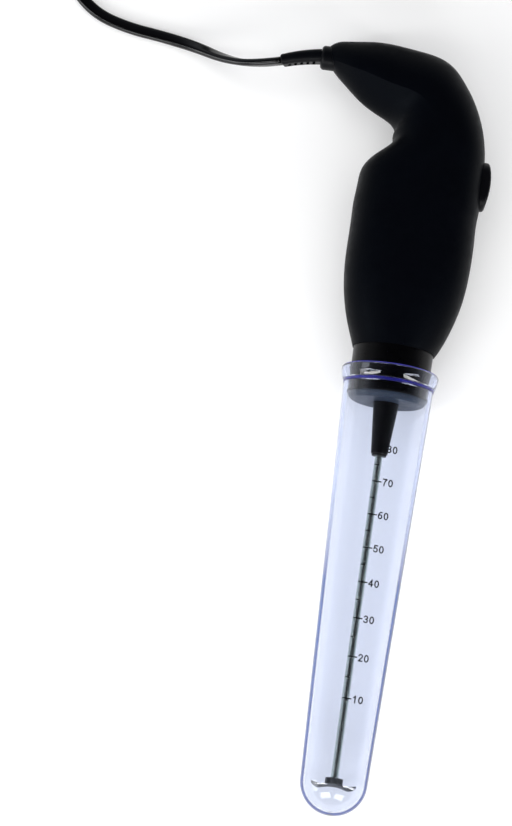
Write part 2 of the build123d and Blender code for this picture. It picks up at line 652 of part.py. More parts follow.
def coil_tie():
    """Strap round the coil."""
    strap, width, bearing = 0.8, 7.0, 300
    outer, inner = COIL_OUT_R + CORD_WIDTH / 2, COIL_MID_R - TURN_STEP - CORD_WIDTH / 2
    height = LAYER_Z[1] + CORD_WIDTH / 2 - COIL_BASE_Z
    ring = Cylinder(outer + strap, height + 2 * strap) - Cylinder(inner - strap, height + 6)
    ring = fillet(ring.edges().filter_by(GeomType.CIRCLE), 2.6)
    sector = Rot(0, 0, bearing) * (Pos(COIL_MID_R, 0, 0) * Box(20, width, 20))
    loop = Pos(COIL_X, COIL_Y, COIL_BASE_Z + height / 2) * (ring & sector)
    return loop - cord_coil()


def plug_body():
    """Flat two-pin plug, with a ribbed tail that the lead comes out of."""
    shapes = ((0.0, 6.8, 6.2, 2.6), (13.0, 8.6, 7.4, 3.0), (14.0, 14.0, 10.6, 4.0),
              (30.0, 24.0, 12.6, 4.6), (47.0, 26.0, 13.7, 4.6))
    sections = []
    for reach, width, height, corner in shapes:
        plane = Plane(origin=(PLUG_X + reach, PLUG_Y, PLUG_AXIS_Z), x_dir=(0, 1, 0), z_dir=(1, 0, 0))
        sections.append((plane * RectangleRounded(width, height, corner)).face())
    tail = loft(sections[:2], ruled=True)
    head = loft(sections[2:], ruled=True)
    bridge = loft(sections[1:3], ruled=True)
    body = tail + bridge + head
    for k in range(3):
        for side in (-1, 1):
            x = PLUG_X + 3.0 + 3.2 * k
            notch = block(x, x + 1.3, PLUG_Y - 2.2, PLUG_Y + 2.2, PLUG_AXIS_Z - 1, PLUG_AXIS_Z + 1)
            body -= Pos(0, 0, side * 3.6) * notch
    return body


def plug_pins():
    """Two round pins."""
    start = PLUG_X + 47.0
    pins = []
    for side in (-1, 1):
        pin = along_x(PIN_R, start, start + PIN_LENGTH, PLUG_Y + side * PIN_SPACING / 2, PLUG_AXIS_Z)
        tip = pin.edges().filter_by(GeomType.CIRCLE).sort_by(Axis.X)[-1]
        pins.append(fillet(tip, 0.9))
    return pins


# ---------------------------------------------------------------- write every node
os.makedirs("parts", exist_ok=True)
outer_half = half_body(0)
NODES = {
    "housing_right": housing_right(),
    "housing_left": housing_left(),
    "housing_screws": housing_screws(),
    "neck_collar": neck_collar(),
    "neck_cap": neck_cap(),
    "seal_ring": seal_ring(),
    "bearing_cone": bearing_cone(),
    "cone_bush": cone_bush(),
    "upper_bush": shaft_bush(-67.9, -61.6, 3.15),
    "shaft_seal": shaft_seal(),
    "drive_shaft": drive_shaft(),
    "agitator_hub": agitator_hub(),
    "agitator_disc": agitator_disc(),
    "measuring_tube": measuring_tube(),
    "power_button": power_button(),
    "button_spring": button_spring(),
    "switch_body": switch_body(),
    "switch_plunger": switch_plunger(),
    "switch_bracket": switch_bracket(),
    "motor_can": motor_can(),
    "motor_endcap": motor_endcap(),
    "motor_magnets": motor_magnets(),
    "motor_bushes": motor_bushes(),
    "motor_mount": motor_mount(),
    "motor_brushes": motor_brushes(),
    "armature_core": armature_core(),
    "armature_windings": armature_windings(),
    "commutator": commutator(),
    "motor_shaft": motor_shaft(),
    "shaft_coupling": shaft_coupling(),
    "rectifier_board": rectifier_board(),
    "rectifier_diodes": rectifier_diodes(),
    "filter_capacitor": filter_capacitor(),
    "lead_wires": lead_wires(),
    "cord_inner": cord_inner(),
    "cord_clamp": cord_clamp(),
    "clamp_screws": clamp_screws(),
    "strain_relief": strain_relief(outer_half),
    "cord_lead": cord_tube("cord_lead", CORD_ROUTE),
    "cord_coil": cord_coil(),
    "coil_tie": coil_tie(),
    "cord_tail": cord_tube("cord_tail", TAIL_ROUTE),
    "plug_body": plug_body(),
    "plug_pins": plug_pins(),
}
for node, shape in NODES.items():
    save(node, shape)
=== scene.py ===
"""Looks of the hand-held drink mixer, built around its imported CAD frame. Units are metres."""
import json
import math

import bmesh
import bpy
from mathutils import Matrix, Vector


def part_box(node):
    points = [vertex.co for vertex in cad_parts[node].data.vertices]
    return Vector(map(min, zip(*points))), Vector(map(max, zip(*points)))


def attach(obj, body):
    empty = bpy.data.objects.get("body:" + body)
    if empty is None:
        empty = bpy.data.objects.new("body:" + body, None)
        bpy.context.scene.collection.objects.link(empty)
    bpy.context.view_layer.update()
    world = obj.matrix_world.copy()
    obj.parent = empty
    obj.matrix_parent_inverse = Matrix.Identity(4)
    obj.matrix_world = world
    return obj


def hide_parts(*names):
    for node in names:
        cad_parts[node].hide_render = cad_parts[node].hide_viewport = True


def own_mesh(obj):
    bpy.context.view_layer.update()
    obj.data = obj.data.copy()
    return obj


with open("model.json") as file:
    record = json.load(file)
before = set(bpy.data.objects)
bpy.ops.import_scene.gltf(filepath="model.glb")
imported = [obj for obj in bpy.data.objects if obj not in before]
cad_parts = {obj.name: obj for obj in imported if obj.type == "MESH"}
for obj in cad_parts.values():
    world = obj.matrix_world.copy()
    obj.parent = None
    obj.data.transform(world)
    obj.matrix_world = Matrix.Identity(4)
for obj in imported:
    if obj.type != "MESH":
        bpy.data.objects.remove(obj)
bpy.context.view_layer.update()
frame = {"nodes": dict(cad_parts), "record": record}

# ------------------------------------------------------------------ measures taken from the frame
MM = 0.001
SHAFT_LOW, SHAFT_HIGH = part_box("drive_shaft")
AXIS_Z = (SHAFT_LOW[2] + SHAFT_HIGH[2]) / 2
TUBE_LOW, TUBE_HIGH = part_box("measuring_tube")
RIM_Y = TUBE_HIGH[1]
TUBE_END_Y = TUBE_LOW[1]
SHOULDER_Y, TUBE_ROUND_Y = -64.8 * MM, -225.9 * MM
TUBE_TOP_R, TUBE_TIP_R, TUBE_WALL = 18.36 * MM, 13.46 * MM, 1.6 * MM
COIL_LOW, COIL_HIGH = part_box("cord_coil")
COIL_X, COIL_Y = (COIL_LOW[0] + COIL_HIGH[0]) / 2, (COIL_LOW[1] + COIL_HIGH[1]) / 2

# ------------------------------------------------------------------ camera, with angles in degrees
CAMERA_AZIMUTH, CAMERA_ELEVATION = 8.2, 80.0
CAMERA_PLACE = (-0.02333, -0.27976, 1.14340)
LENS, SENSOR = 122.9, 36.0


def make_camera():
    """The camera looks almost straight down at the mixer."""
    data = bpy.data.cameras.new("camera")
    data.lens, data.sensor_width = LENS, SENSOR
    camera = bpy.data.objects.new("camera", data)
    bpy.context.collection.objects.link(camera)
    turn, rise = math.radians(CAMERA_AZIMUTH), math.radians(CAMERA_ELEVATION)
    back = Vector((math.sin(turn) * math.cos(rise), -math.cos(turn) * math.cos(rise), math.sin(rise)))
    right = Vector((0, 0, 1)).cross(back).normalized()
    up = back.cross(right)
    camera.matrix_world = Matrix.Translation(CAMERA_PLACE) @ Matrix((right, up, back)).transposed().to_4x4()
    bpy.context.scene.camera = camera


make_camera()


# ------------------------------------------------------------------ small helpers
NOISE_LOW, NOISE_HIGH = 0.3, 0.7  # where nearly all of a noise's values lie


def link(name, data):
    """A new object in the scene."""
    obj = bpy.data.objects.new(name, data)
    bpy.context.collection.objects.link(obj)
    return obj


def material(name):
    """A new material, its principled shader and its node tree."""
    mat = bpy.data.materials.new(name)
    mat.use_nodes = True
    tree = mat.node_tree
    return mat, tree.nodes["Principled BSDF"], tree


def node(tree, kind, **values):
    """A shader node with some of its sockets or attributes set."""
    made = tree.nodes.new(kind)
    for key, value in values.items():
        if key in made.inputs:
            made.inputs[key].default_value = value
        else:
            setattr(made, key, value)
    return made


def coordinates(tree, stretch=(1, 1, 1)):
    """Object coordinates, scaled along each axis."""
    place = node(tree, "ShaderNodeTexCoord")
    mapping = node(tree, "ShaderNodeMapping", Scale=stretch)
    tree.links.new(place.outputs["Object"], mapping.inputs["Vector"])
    return mapping.outputs["Vector"]


def noise(tree, scale, detail=2.0, stretch=(1, 1, 1)):
    """Noise in object coordinates; scale is in cells per metre."""
    made = node(tree, "ShaderNodeTexNoise", Scale=scale, Detail=detail)
    tree.links.new(coordinates(tree, stretch), made.inputs["Vector"])
    return made.outputs["Fac"]


def maths(tree, operation, first, second):
    """The result of a maths node, from two sockets or numbers."""
    made = node(tree, "ShaderNodeMath", operation=operation)
    for socket, value in zip(made.inputs, (first, second)):
        if isinstance(value, bpy.types.NodeSocket):
            tree.links.new(value, socket)
        else:
            socket.default_value = value
    return made.outputs["Value"]


def remap(tree, value, low, high, new_low=0.0, new_high=1.0):
    """A value taken from one range to another and held within it."""
    made = node(tree, "ShaderNodeMapRange")
    limits = {"From Min": low, "From Max": high, "To Min": new_low, "To Max": new_high}
    for socket, limit in limits.items():
        made.inputs[socket].default_value = limit
    tree.links.new(value, made.inputs["Value"])
    return made.outputs["Result"]


def ramp(tree, value, stops):
    """A colour ramp over a value."""
    made = node(tree, "ShaderNodeValToRGB")
    ends = made.color_ramp.elements
    for end, (spot, colour) in ((ends[0], stops[0]), (ends[1], stops[-1])):
        end.position, end.color = spot, (*colour, 1)
    for spot, colour in stops[1:-1]:
        made.color_ramp.elements.new(spot).color = (*colour, 1)
    tree.links.new(value, made.inputs["Fac"])
    return made.outputs["Color"]


def bump(tree, height, distance):
    """A bump from a height, as deep as a distance in metres."""
    made = node(tree, "ShaderNodeBump", Strength=1.0, Distance=distance)
    tree.links.new(height, made.inputs["Height"])
    return made.outputs["Normal"]


# ------------------------------------------------------------------ stage
STUDIO_CENTRE = Vector((-0.01, -0.06, 0.02))
DARK_SPOT = Vector((0.16, -0.1, 0.98)).normalized()
WORLD_STRENGTH = 0.6
# Colours of the world, from the horizon (0) to the dark spot (1).
WORLD_STOPS = (
    (0.0, (0.95, 0.97, 1.0)),
    (0.22, (0.9, 0.93, 1.0)),
    (0.52, (0.16, 0.17, 0.2)),
    (0.76, (0.03, 0.03, 0.035)),
    (1.0, (0.01, 0.01, 0.012)),
)
FLOOR_REACH, FLOOR_WHITE, FLOOR_GLOW = 6.0, 0.76, 0.24
FLOOR_ROUGHNESS, FLOOR_SPECULAR = 0.9, 0.1
# Each light's name, how far it leans to the right and towards the tube's end (degrees), its distance and
# size (metres), its power (watts), and whether it shows in gloss and lights only the steel shaft.
LIGHTS = (
    ("ceiling", 0, 0, 1.9, (2.6, 2.6), 30, False, False),
    ("left_strip", -46, 20, 1.3, (0.95, 0.10), 3.5, True, False),
    ("right_strip", 56, 20, 1.3, (1.0, 0.10), 4.0, True, False),
    ("left_low", -72, 24, 1.5, (0.5, 0.8), 3.8, True, False),
    ("foot_left", -34, 56, 1.4, (0.75, 0.45), 6.0, True, False),
    ("foot_right", 36, 56, 1.4, (0.65, 0.45), 5.0, True, False),
    ("shaft_left", -50, 0, 1.3, (1.2, 2.0), 9.5, True, True),
    ("shaft_right", 50, 0, 1.3, (1.2, 2.0), 8.0, True, True),
)


def make_world():
    """Even light from the sides, darker overhead where the photographer stands."""
    world = bpy.data.worlds.new("studio")
    world.use_nodes = True
    tree = world.node_tree
    direction = node(tree, "ShaderNodeTexCoord")
    nearness = node(tree, "ShaderNodeVectorMath", operation="DOT_PRODUCT")
    nearness.inputs[1].default_value = DARK_SPOT
    tree.links.new(direction.outputs["Generated"], nearness.inputs[0])
    background = tree.nodes["Background"]
    tree.links.new(ramp(tree, nearness.outputs["Value"], WORLD_STOPS), background.inputs["Color"])
    background.inputs["Strength"].default_value = WORLD_STRENGTH
    bpy.context.scene.world = world


def make_floor():
    """A plain white floor with a faint glow, so that shadows stay soft."""
    mesh = bpy.data.meshes.new("floor")
    corners = [(x * FLOOR_REACH, y * FLOOR_REACH, 0) for x, y in ((-1, -1), (1, -1), (1, 1), (-1, 1))]
    mesh.from_pydata(corners, [], [(0, 1, 2, 3)])
    floor = link("floor", mesh)
    mat, shader, _tree = material("floor")
    shader.inputs["Base Color"].default_value = (FLOOR_WHITE, FLOOR_WHITE, FLOOR_WHITE, 1)
    shader.inputs["Emission Color"].default_value = (1, 1, 1, 1)
    shader.inputs["Emission Strength"].default_value = FLOOR_GLOW
    shader.inputs["Roughness"].default_value = FLOOR_ROUGHNESS
    shader.inputs["Specular IOR Level"].default_value = FLOOR_SPECULAR
    mesh.materials.append(mat)


def make_lights():
    """A wide soft ceiling that no gloss picks up, a strip box each side, a soft box low on the left, two
    boxes at the foot, and two long boxes that light only the steel shaft."""
    shaft_only = bpy.data.collections.new("shaft_only")
    shaft_only.objects.link(frame["nodes"]["drive_shaft"])
    for name, lean, foot, reach, size, power, in_gloss, on_shaft_only in LIGHTS:
        lean, foot = math.radians(lean), math.radians(foot)
        back = Vector((math.sin(lean) * math.cos(foot), -math.sin(foot), math.cos(lean) * math.cos(foot)))
        across = Vector((math.cos(lean), 0, -math.sin(lean)))
        data = bpy.data.lights.new(name, "AREA")
        data.shape, data.size, data.size_y, data.energy = "RECTANGLE", size[0], size[1], power
        lamp = link(name, data)
        turn = Matrix((across, back.cross(across), back)).transposed().to_4x4()
        lamp.matrix_world = Matrix.Translation(STUDIO_CENTRE + back * reach) @ turn
        lamp.visible_glossy = in_gloss
        lamp.visible_transmission = in_gloss
        if on_shaft_only:
            lamp.light_linking.receiver_collection = shaft_only
            data.cycles.use_multiple_importance_sampling = False


make_world()
make_floor()
make_lights()
bpy.context.scene.view_settings.view_transform = "Standard"

# ------------------------------------------------------------------ cord
CORD_WIDTH, CORD_THICK = 5.2 * MM, 3.2 * MM
SECTION_POINTS, LOBE_SHARE = 28, 2.2
GROOVE_DEPTH, GROOVE_SHARPNESS = 0.13 * MM, 3.2
FLOOR_Z = CORD_WIDTH / 2
COIL_SPREAD, COIL_MID_R = 4.6 * MM, 28.5 * MM
COIL_WOBBLE, WOBBLE_RATE = 0.15 * MM, 5.3
COIL_OUT_R = COIL_MID_R + COIL_SPREAD
LAYER_Z = (COIL_LOW[2] + CORD_WIDTH / 2, COIL_HIGH[2] - CORD_WIDTH / 2)
CORD_EXIT = (-62.1 * MM, 64.9 * MM, 17.85 * MM)
CORD_ROUTE = [
    CORD_EXIT,
    (-73.9 * MM, 62.6 * MM, 14.8 * MM),
    (-86.6 * MM, 65.1 * MM, 8.8 * MM),
    (-99.0 * MM, 70.0 * MM, 4.4 * MM),
    (-113.0 * MM, 73.0 * MM, FLOOR_Z),
    (-129.0 * MM, 74.8 * MM, FLOOR_Z),
    (-143.5 * MM, 79.2 * MM, FLOOR_Z),
    (-154.0 * MM, 89.0 * MM, FLOOR_Z),
    (-159.4 * MM, 103.2 * MM, FLOOR_Z),
    (COIL_X - COIL_OUT_R, COIL_Y - 10.5 * MM, LAYER_Z[0]),
]
TAIL_ROUTE = [
    (COIL_X + 2.0 * MM, COIL_Y + COIL_OUT_R, LAYER_Z[1]),
    (COIL_X + 17.0 * MM, COIL_Y + 31.6 * MM, 7.4 * MM),
    (COIL_X + 32.5 * MM, COIL_Y + 24.0 * MM, 3.8 * MM),
    (COIL_X + 42.2 * MM, COIL_Y + 8.5 * MM, FLOOR_Z),
    (COIL_X + 57.2 * MM, COIL_Y - 1.4 * MM, 4.6 * MM),
    (-53.0 * MM, 126.0 * MM, 7.9 * MM),
    (-47.9 * MM, 126.0 * MM, 7.9 * MM),
]
COIL_TURNS, POINTS_PER_TURN = 5.25, 16
ROUTE_RESOLUTION = 10
CLIMB_START, CLIMB_SPAN = 0.46, 0.08  # shares of the coil's length
# The lead stands on edge (90 degrees) apart from these twists: where each starts, over what length and by
# how many degrees. Starts are in metres from the strain relief or, where negative, from the plug.
UPRIGHT = 90
TWISTS = ((0.002, 0.05, -78), (0.112, 0.05, 78), (-0.085, 0.03, -60), (-0.035, 0.03, -30))


def coil_points():
    """The wound part: inwards on the lower layer, then outwards on the upper one."""
    points = []
    whole = round(COIL_TURNS * POINTS_PER_TURN)
    for k in range(1, whole):
        share = k / whole
        angle = math.pi - 2 * math.pi * COIL_TURNS * share
        inward = 1 - abs(2 * share - 1)
        radius = COIL_OUT_R - 2 * COIL_SPREAD * inward + COIL_WOBBLE * math.sin(WOBBLE_RATE * angle)
        climbed = min(max((share - CLIMB_START) / CLIMB_SPAN, 0.0), 1.0)
        height = LAYER_Z[0] + (LAYER_Z[1] - LAYER_Z[0]) * climbed
        points.append((COIL_X + radius * math.cos(angle), COIL_Y + radius * math.sin(angle), height))
    return points


def route_line(points):
    """Points along one smooth spline through the lead's route."""
    data = bpy.data.curves.new("route", "CURVE")
    data.dimensions = "3D"
    spline = data.splines.new("NURBS")
    spline.points.add(len(points) - 1)
    for slot, place in zip(spline.points, points):
        slot.co = (*place, 1)
    spline.order_u, spline.use_endpoint_u, spline.resolution_u = 3, True, ROUTE_RESOLUTION
    route = link("route", data)
    mesh = bpy.data.meshes.new_from_object(route.evaluated_get(bpy.context.evaluated_depsgraph_get()))
    line = [vertex.co.copy() for vertex in mesh.vertices]
    bpy.data.objects.remove(route)
    bpy.data.meshes.remove(mesh)
    return line


def smooth_step(share):
    """0 before 0, 1 after 1, smooth between."""
    share = min(max(share, 0.0), 1.0)
    return share * share * (3 - 2 * share)


def tilt_at(length, whole):
    """How far the flat lead's wide side leans from level, in degrees, along its length."""
    lean = UPRIGHT
    for start, span, twist in TWISTS:
        past = length - start if start > 0 else length - whole - start
        lean += twist * smooth_step(past / span)
    return lean


def cord_section():
    """Outline of the flat twin lead: two round cores side by side, with a shallow groove between."""
    lobe, offset = CORD_THICK / 2, (CORD_WIDTH - CORD_THICK) / 2
    outline = []
    for k in range(SECTION_POINTS):
        angle = 2 * math.pi * k / SECTION_POINTS
        side = math.cos(angle)
        centre = offset * math.copysign(min(1.0, abs(side) * LOBE_SHARE), side)
        groove = GROOVE_DEPTH * math.exp(-(side * GROOVE_SHARPNESS) ** 2)
        outline.append((centre + lobe * side, (lobe - groove) * math.sin(angle)))
    return outline


def level_across(ahead):
    """The level direction across a line that runs ahead."""
    return Vector((0, 0, 1)).cross(ahead).normalized()


def tube_along(name, line, outline_at, across=level_across):
    """A mesh tube whose rings follow a line; outline_at(k) gives ring k's points and its lean."""
    mesh_maker = bmesh.new()
    rings = []
    for k, place in enumerate(line):
        ahead = (line[min(k + 1, len(line) - 1)] - line[max(k - 1, 0)]).normalized()
        level = across(ahead)
        rise = ahead.cross(level)
        outline, lean = outline_at(k)
        wide = level * math.cos(lean) + rise * math.sin(lean)
        thin = ahead.cross(wide)
        rings.append([mesh_maker.verts.new(place + wide * u + thin * v) for u, v in outline])
    for first, second in zip(rings, rings[1:]):
        for k in range(len(first)):
            after = (k + 1) % len(first)
            mesh_maker.faces.new((first[k], first[after], second[after], second[k]))
    mesh_maker.faces.new(list(reversed(rings[0])))
    mesh_maker.faces.new(rings[-1])
    bmesh.ops.recalc_face_normals(mesh_maker, faces=mesh_maker.faces)
    mesh = bpy.data.meshes.new(name)
    mesh_maker.to_mesh(mesh)
    mesh_maker.free()
    mesh.shade_smooth()
    return link(name, mesh)


def make_cord():
    """The whole flat lead, from the strain relief to the plug, and its centreline."""
    line = route_line(CORD_ROUTE + coil_points() + TAIL_ROUTE)
    lengths = [0.0]
    for before, after in zip(line, line[1:]):
        lengths.append(lengths[-1] + (after - before).length)
    whole = lengths[-1]
    leans = [math.radians(tilt_at(length, whole)) for length in lengths]
    drop = (CORD_WIDTH - CORD_THICK) / 2
    centres = []
    for place, lean in zip(line, leans):
        centres.append(place - Vector((0, 0, drop * (1 - abs(math.sin(lean))))))
    outline = cord_section()
    return tube_along("cord_flat_twin", centres, lambda k: (outline, leans[k])), centres


cord, cord_line = make_cord()
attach(cord, "handle")
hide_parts("cord_lead", "cord_coil", "cord_tail")


# ------------------------------------------------------------------ materials
LENGTHWISE, ACROSS = (1, 0.03, 1), (0.05, 3, 0.05)  # noise drawn out along the mixer, or across it
COLOUR_SCALE, GLOSS_SCALE, GRAIN_DETAIL = 70.0, 260.0, 3.0
DULL, FRESH = 0.88, 1.1       # how far the colour strays
SMOOTH, ROUGH = 0.86, 1.14    # how far the roughness strays
TUBE_IOR, TUBE_ROUGHNESS = 1.49, 0.02
THICK_TINT, TINT_DENSITY = (0.17, 0.35, 0.86, 1), 56.0
CLEAR_TINT = (0.885, 0.9, 0.93, 1)
# How blue the outer wall is, from face on (0) to edge on (1).
WALL_STOPS = (
    (0.0, (0, 0, 0)),
    (0.53, (0, 0, 0)),
    (0.6, (1, 1, 1)),
    (0.9, (1, 1, 1)),
    (1.0, (0.3, 0.3, 0.3)),
)
# The wall's tint at its edges, from the round end (0) to the rim (1).
EDGE_STOPS = (
    (0.0, (0.0, 0.002, 0.09)),
    (0.52, (0.0003, 0.01, 0.13)),
    (0.75, (0.42, 0.5, 0.76)),
    (1.0, (0.7, 0.74, 0.9)),
)


def plain(name, colour, rough, metal=0.0, grain=0.01, grain_scale=900.0, run=(1, 1, 1), **sockets):
    """A moulded or machined finish: uneven colour and gloss under a fine grain, whose depth is in mm."""
    mat, shader, tree = material(name)
    shader.inputs["Metallic"].default_value = metal
    for socket, value in sockets.items():
        shader.inputs[socket.replace("_", " ")].default_value = value
    dull, fresh = (tuple(channel * share for channel in colour) for share in (DULL, FRESH))
    patches = noise(tree, COLOUR_SCALE, GRAIN_DETAIL, run)
    shade = ramp(tree, patches, ((NOISE_LOW, dull), (NOISE_HIGH, fresh)))
    tree.links.new(shade, shader.inputs["Base Color"])
    smears = noise(tree, GLOSS_SCALE, GRAIN_DETAIL, run)
    gloss = remap(tree, smears, NOISE_LOW, NOISE_HIGH, rough * SMOOTH, rough * ROUGH)
    tree.links.new(gloss, shader.inputs["Roughness"])
    relief = bump(tree, noise(tree, grain_scale, GRAIN_DETAIL, run), grain * MM)
    tree.links.new(relief, shader.inputs["Normal"])
    return mat


def on_outer_wall(tree, place):
    """1 on the outer half of the tube's wall and 0 on the inner half."""
    in_bowl = maths(tree, "MINIMUM", maths(tree, "ADD", place["Y"], -TUBE_ROUND_Y), 0.0)
    spoke = node(tree, "ShaderNodeCombineXYZ")
    for axis, value in zip("XYZ", (place["X"], in_bowl, maths(tree, "SUBTRACT", place["Z"], AXIS_Z))):
        tree.links.new(value, spoke.inputs[axis])
    radius = node(tree, "ShaderNodeVectorMath", operation="LENGTH")
    tree.links.new(spoke.outputs["Vector"], radius.inputs["Vector"])
    mid_wall = remap(tree, place["Y"], TUBE_ROUND_Y, SHOULDER_Y, TUBE_TIP_R - TUBE_WALL / 2,
                     TUBE_TOP_R - TUBE_WALL / 2)
    return maths(tree, "GREATER_THAN", radius.outputs["Value"], mid_wall)


def tube_plastic():
    """Clear moulded plastic, tinted blue: deepest where its wall is seen edge on, near the round end."""
    mat, shader, tree = material("tube_clear")
    shader.inputs["Roughness"].default_value = TUBE_ROUGHNESS
    shader.inputs["Transmission Weight"].default_value = 1.0
    shader.inputs["IOR"].default_value = TUBE_IOR
    absorb = node(tree, "ShaderNodeVolumeAbsorption", Color=THICK_TINT, Density=TINT_DENSITY)
    tree.links.new(absorb.outputs["Volume"], tree.nodes["Material Output"].inputs["Volume"])
    parts = node(tree, "ShaderNodeSeparateXYZ")
    tree.links.new(node(tree, "ShaderNodeTexCoord").outputs["Object"], parts.inputs["Vector"])
    edge = node(tree, "ShaderNodeLayerWeight", Blend=0.5)
    edge_on = ramp(tree, edge.outputs["Facing"], WALL_STOPS)
    outer_edge = maths(tree, "MULTIPLY", edge_on, on_outer_wall(tree, parts.outputs))
    along = remap(tree, parts.outputs["Y"], TUBE_END_Y, RIM_Y)
    tint = node(tree, "ShaderNodeMix", data_type="RGBA", A=CLEAR_TINT)
    tree.links.new(outer_edge, tint.inputs["Factor"])
    tree.links.new(ramp(tree, along, EDGE_STOPS), tint.inputs["B"])
    tree.links.new(tint.outputs["Result"], shader.inputs["Base Color"])
    return mat


# Every finish but the tube's: its colour, its roughness and what else differs from a moulded plastic.
PLAIN_FINISHES = {
    "handle_black": dict(colour=(0.001, 0.0013, 0.0024), rough=0.42, grain=0.02, Specular_IOR_Level=0.035,
                         Specular_Tint=(0.72, 0.86, 1.0, 1)),
    "stopper_black": dict(colour=(0.0005, 0.0005, 0.0008), rough=0.3, Specular_IOR_Level=0.12),
    "cap_grey": dict(colour=(0.02, 0.029, 0.046), rough=0.4, Specular_IOR_Level=0.2),
    "cone_black": dict(colour=(0.0006, 0.0006, 0.001), rough=0.35, Specular_IOR_Level=0.15),
    "seal_rubber": dict(colour=(0.002, 0.002, 0.002), rough=0.6, grain=0.02, Specular_IOR_Level=0.2),
    "bush_bronze": dict(colour=(0.03, 0.03, 0.03), rough=0.5, metal=1.0, grain=0.004),
    "shaft_steel": dict(colour=(0.58, 0.65, 0.62), rough=0.18, metal=1.0, grain=0.0002, run=LENGTHWISE),
    "agitator_steel": dict(colour=(0.12, 0.125, 0.13), rough=0.6, metal=1.0, grain=0.003),
    "button_black": dict(colour=(0.002, 0.002, 0.003), rough=0.38, grain=0.015, Specular_IOR_Level=0.2),
    "spring_steel": dict(colour=(0.6, 0.6, 0.6), rough=0.25, metal=1.0, grain=0.002),
    "screw_steel": dict(colour=(0.5, 0.51, 0.53), rough=0.3, metal=1.0, grain=0.003),
    "switch_plastic": dict(colour=(0.04, 0.04, 0.04), rough=0.45, grain=0.015),
    "switch_red": dict(colour=(0.5, 0.04, 0.03), rough=0.4),
    "inner_plastic": dict(colour=(0.1, 0.1, 0.1), rough=0.5, grain=0.02),
    "motor_steel": dict(colour=(0.55, 0.56, 0.57), rough=0.3, metal=1.0, grain=0.002, run=LENGTHWISE),
    "motor_plastic": dict(colour=(0.7, 0.68, 0.62), rough=0.5, grain=0.015),
    "magnet_ferrite": dict(colour=(0.05, 0.05, 0.055), rough=0.6, grain=0.03),
    "brush_carbon": dict(colour=(0.03, 0.03, 0.03), rough=0.6, grain=0.03),
    "lamination_steel": dict(colour=(0.4, 0.4, 0.42), rough=0.35, metal=1.0, grain=0.02, run=ACROSS),
    "winding_copper": dict(colour=(0.75, 0.32, 0.14), rough=0.3, metal=1.0, grain=0.06, run=LENGTHWISE),
    "coupling_brass": dict(colour=(0.8, 0.62, 0.3), rough=0.25, metal=1.0, grain=0.002),
    "board_green": dict(colour=(0.02, 0.16, 0.06), rough=0.4),
    "component_black": dict(colour=(0.02, 0.02, 0.02), rough=0.35, grain=0.015),
    "capacitor_yellow": dict(colour=(0.75, 0.5, 0.06), rough=0.35),
    "wire_insulation": dict(colour=(0.4, 0.04, 0.03), rough=0.4),
    "cord_black": dict(colour=(0.002, 0.002, 0.0025), rough=0.2, grain=0.006, Specular_IOR_Level=0.42),
    "relief_black": dict(colour=(0.0015, 0.0018, 0.0028), rough=0.34, Specular_IOR_Level=0.14),
    "tie_black": dict(colour=(0.02, 0.02, 0.02), rough=0.6, grain=0.03, grain_scale=1600.0),
    "plug_black": dict(colour=(0.012, 0.012, 0.013), rough=0.5, grain=0.03),
    "pin_nickel": dict(colour=(0.75, 0.73, 0.68), rough=0.2, metal=1.0, grain=0.001),
    "scale_ink": dict(colour=(0.002, 0.002, 0.003), rough=0.5, grain=0.004, Specular_IOR_Level=0.2),
}
FINISHES = {name: plain(name, **values) for name, values in PLAIN_FINISHES.items()}
FINISHES["tube_clear"] = tube_plastic()


def finish_nodes():
    """Gives every CAD node the finish that its slot names, and lets light through the clear tube."""
    for entry in frame["record"]["subparts"]:
        obj = frame["nodes"][entry["node"]]
        for slot in obj.material_slots:
            slot.material = FINISHES[entry["material_slot"]]
    frame["nodes"]["measuring_tube"].visible_shadow = False


finish_nodes()
cord.data.materials.append(FINISHES["cord_black"])

# ------------------------------------------------------------------ button spring
SPRING_LOW, SPRING_HIGH = (Vector(corner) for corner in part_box("button_spring"))
SPRING_WIRE_R, WIRE_SIDES = 0.3 * MM, 10
SPRING_TURNS, STEPS_PER_TURN = 5, 28


def across_coil(ahead):
    """The direction out of a coil that winds about the x axis."""
    return ahead.cross(Vector((1, 0, 0))).normalized()


def make_spring():
    """A coil spring along the button's axis, in the space of its CAD solid."""
    middle = (SPRING_LOW + SPRING_HIGH) / 2
    radius = (SPRING_HIGH.z - SPRING_LOW.z) / 2 - SPRING_WIRE_R
    start, end = SPRING_LOW.x + SPRING_WIRE_R, SPRING_HIGH.x - SPRING_WIRE_R
    count = SPRING_TURNS * STEPS_PER_TURN
    line = []
    for k in range(count + 1):
        turn = 2 * math.pi * k / STEPS_PER_TURN
        x = start + (end - start) * k / count
        line.append(Vector((x, middle.y + radius * math.cos(turn), middle.z + radius * math.sin(turn))))
    angles = [2 * math.pi * k / WIRE_SIDES for k in range(WIRE_SIDES)]
    outline = [(SPRING_WIRE_R * math.cos(angle), SPRING_WIRE_R * math.sin(angle)) for angle in angles]
    return tube_along("button_coil_spring", line, lambda k: (outline, 0.0), across=across_coil)


spring = make_spring()
spring.data.materials.append(FINISHES["spring_steel"])
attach(spring, "handle")
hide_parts("button_spring")
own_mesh(spring)


